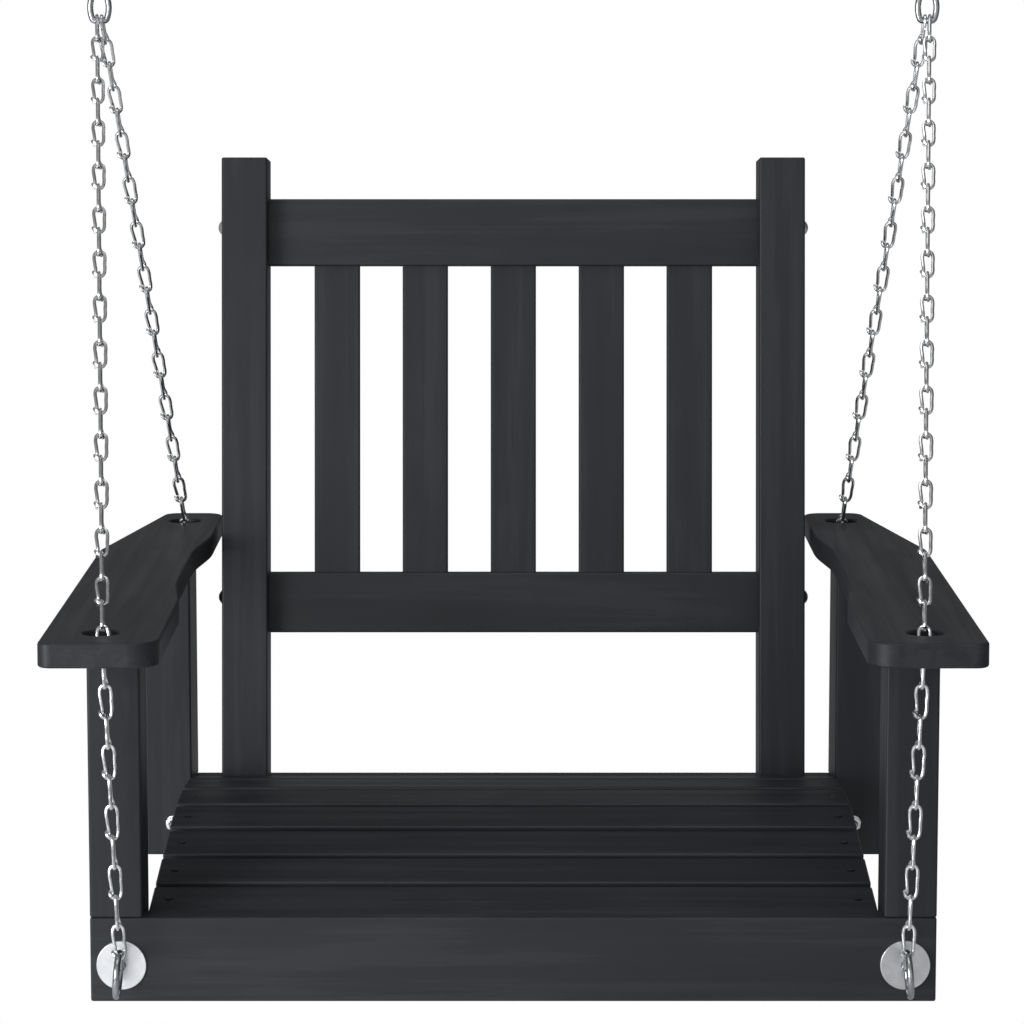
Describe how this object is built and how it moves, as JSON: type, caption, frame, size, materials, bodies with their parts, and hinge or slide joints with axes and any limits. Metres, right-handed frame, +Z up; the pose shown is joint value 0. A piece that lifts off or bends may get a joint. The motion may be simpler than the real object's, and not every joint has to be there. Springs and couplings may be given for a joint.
{
  "type": "porch swing",
  "caption": "Single-seat porch swing of dark painted timber with slatted seat and back, flat arms with chain holes, hanging on four link chains from two ceiling screw eyes.",
  "frame": {"origin": "midway between the two ceiling screws, on the face of the ceiling that their collars meet", "axes": "+Z up out of the ceiling along the screws, -Y towards the front, so the sitter faces -Y, +X to the right as seen from the front"},
  "size_m": [0.633, 0.6091, 0.7297],
  "materials": {
    "painted_wood": "satin anthracite paint on planed timber",
    "hardware_zinc": "bright zinc plate",
    "chain_zinc": "bright zinc plated wire",
    "ceiling_eye_zinc": "bright zinc plate",
    "black_screws": "black coated screws",
    "beech_dowel": "bare fluted dowel"
  },
  "bodies": {
    "ceiling_fixings": {"ceiling_eye_left": "ceiling_eye_zinc", "ceiling_eye_right": "ceiling_eye_zinc"},
    "swing": {"arm_dowels": "beech_dowel", "arm_left": "painted_wood", "arm_right": "painted_wood", "back_bolts": "hardware_zinc", "back_bottom_rail": "painted_wood", "back_post_left": "painted_wood", "back_post_right": "painted_wood", "back_slat_1": "painted_wood", "back_slat_2": "painted_wood", "back_slat_3": "painted_wood", "back_slat_4": "painted_wood", "back_slat_5": "painted_wood", "back_top_rail": "painted_wood", "chain_front_left": "chain_zinc", "chain_front_right": "chain_zinc", "chain_rear_left": "chain_zinc", "chain_rear_right": "chain_zinc", "cross_rail": "painted_wood", "cross_screws": "black_screws", "eye_bolt_front_left": "hardware_zinc", "eye_bolt_front_right": "hardware_zinc", "eye_bolt_rear_left": "hardware_zinc", "eye_bolt_rear_right": "hardware_zinc", "eye_nuts": "hardware_zinc", "eye_washers": "hardware_zinc", "front_post_left": "painted_wood", "front_post_right": "painted_wood", "front_rail": "painted_wood", "inner_washers": "hardware_zinc", "rail_dowels": "beech_dowel", "rear_post_left": "painted_wood", "rear_post_right": "painted_wood", "rear_rail": "painted_wood", "seat_bolt_nuts": "hardware_zinc", "seat_bolts": "hardware_zinc", "seat_slat_1": "painted_wood", "seat_slat_2": "painted_wood", "seat_slat_3": "painted_wood", "seat_slat_4": "painted_wood", "seat_slat_5": "painted_wood", "seat_slat_6": "painted_wood", "seat_slat_7": "painted_wood", "side_rail_left": "painted_wood", "side_rail_right": "painted_wood", "slat_screws": "black_screws"}
  },
  "joints": [
    {"name": "swing", "type": "hinge", "parent": "ceiling_fixings", "child": "swing", "pos_m": [0, 0, -0.0267], "axis": [1, 0, 0], "range_deg": [-25, 25]}
  ]
}
